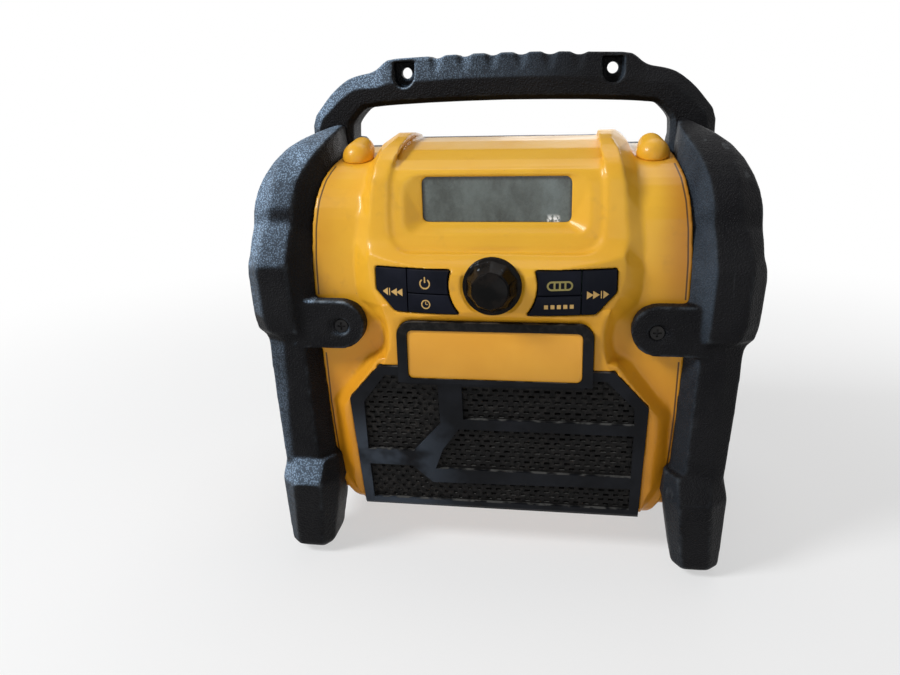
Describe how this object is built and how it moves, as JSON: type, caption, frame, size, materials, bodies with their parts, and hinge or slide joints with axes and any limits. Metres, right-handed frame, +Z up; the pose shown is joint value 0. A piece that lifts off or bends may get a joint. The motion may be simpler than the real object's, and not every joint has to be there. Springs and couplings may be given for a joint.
{
  "type": "jobsite radio",
  "caption": "Rugged jobsite radio with a yellow moulded body, black rubber corner bumpers, carry handle, slotted speaker grille and display",
  "frame": {"origin": "bottom centre", "axes": "X to the right of the radio seen from its front, Y to the back, Z up; the speaker grille and keys face -Y"},
  "size_m": [0.262, 0.186, 0.273],
  "materials": {
    "yellow_abs": "satin",
    "yellow_plate": "satin",
    "black_abs": "matte",
    "bumper_rubber": "grained",
    "seal_rubber": "matte",
    "steel": "satin",
    "magnet_steel": "satin",
    "dust_cloth": "matte",
    "cone_paper": "matte",
    "lead_red": "matte",
    "lens_clear": "clear",
    "lcd_grey": "satin",
    "board_green": "satin",
    "socket_black": "matte",
    "brass": "satin",
    "knob_gloss": "gloss",
    "key_blue_black": "satin"
  },
  "bodies": {
    "case": {"front_housing": "yellow_abs", "rear_housing": "black_abs", "housing_seal": "seal_rubber", "housing_screws": "steel", "left_bumper": "bumper_rubber", "right_bumper": "bumper_rubber", "bumper_screws": "steel", "handle": "bumper_rubber", "handle_screws": "steel", "top_studs": "yellow_abs", "speaker_grille": "black_abs", "badge_plate": "yellow_plate", "dust_cloth": "dust_cloth", "speaker_baskets": "magnet_steel", "speaker_cones": "cone_paper", "speaker_surrounds": "seal_rubber", "speaker_magnets": "magnet_steel", "speaker_leads": "lead_red", "display_lens": "lens_clear", "display_module": "lcd_grey", "control_board": "board_green", "tact_switches": "socket_black", "encoder": "steel", "main_board": "board_green", "tuner_can": "steel", "battery_bay": "black_abs", "terminal_block": "socket_black", "terminal_blades": "brass", "door_hinge_pin": "steel", "power_jack": "socket_black", "power_jack_pin": "steel", "aux_jack": "socket_black", "aerial_base": "black_abs", "aerial_pin": "steel"},
    "knob": {"tuning_knob": "knob_gloss", "knob_cap": "knob_gloss", "encoder_shaft": "steel"},
    "door": {"battery_door": "black_abs", "door_seal": "seal_rubber"},
    "latch": {"door_latch": "bumper_rubber"},
    "aerial": {"aerial_whip": "bumper_rubber"},
    "seek_down_key": {"seek_down_key": "key_blue_black"},
    "power_key": {"power_key": "key_blue_black"},
    "clock_key": {"clock_key": "key_blue_black"},
    "mode_key": {"mode_key": "key_blue_black"},
    "preset_key": {"preset_key": "key_blue_black"},
    "seek_up_key": {"seek_up_key": "key_blue_black"}
  },
  "joints": [
    {"name": "knob_turn", "type": "hinge", "parent": "case", "child": "knob", "pos_m": [0, -0.085, 0.163], "axis": [0, -1, 0], "continuous": true},
    {"name": "seek_down_key_press", "type": "slide", "parent": "case", "child": "seek_down_key", "axis": [0, 1, 0], "range_m": [0, 0.001], "stiffness_N_per_m": 1500, "springref_m": -0.0003},
    {"name": "power_key_press", "type": "slide", "parent": "case", "child": "power_key", "axis": [0, 1, 0], "range_m": [0, 0.001], "stiffness_N_per_m": 1500, "springref_m": -0.0003},
    {"name": "clock_key_press", "type": "slide", "parent": "case", "child": "clock_key", "axis": [0, 1, 0], "range_m": [0, 0.001], "stiffness_N_per_m": 1500, "springref_m": -0.0003},
    {"name": "mode_key_press", "type": "slide", "parent": "case", "child": "mode_key", "axis": [0, 1, 0], "range_m": [0, 0.001], "stiffness_N_per_m": 1500, "springref_m": -0.0003},
    {"name": "preset_key_press", "type": "slide", "parent": "case", "child": "preset_key", "axis": [0, 1, 0], "range_m": [0, 0.001], "stiffness_N_per_m": 1500, "springref_m": -0.0003},
    {"name": "seek_up_key_press", "type": "slide", "parent": "case", "child": "seek_up_key", "axis": [0, 1, 0], "range_m": [0, 0.001], "stiffness_N_per_m": 1500, "springref_m": -0.0003},
    {"name": "door_swing", "type": "hinge", "parent": "case", "child": "door", "pos_m": [-0.0545, 0.0845, 0.116], "axis": [0, 0, 1], "range_deg": [0, 110]},
    {"name": "latch_turn", "type": "hinge", "parent": "door", "child": "latch", "pos_m": [0.037, 0.084, 0.116], "axis": [0, -1, 0], "range_deg": [0, 90]},
    {"name": "aerial_swing", "type": "hinge", "parent": "case", "child": "aerial", "pos_m": [-0.057, 0.086, 0.1835], "axis": [0, -1, 0], "range_deg": [0, 90]}
  ]
}
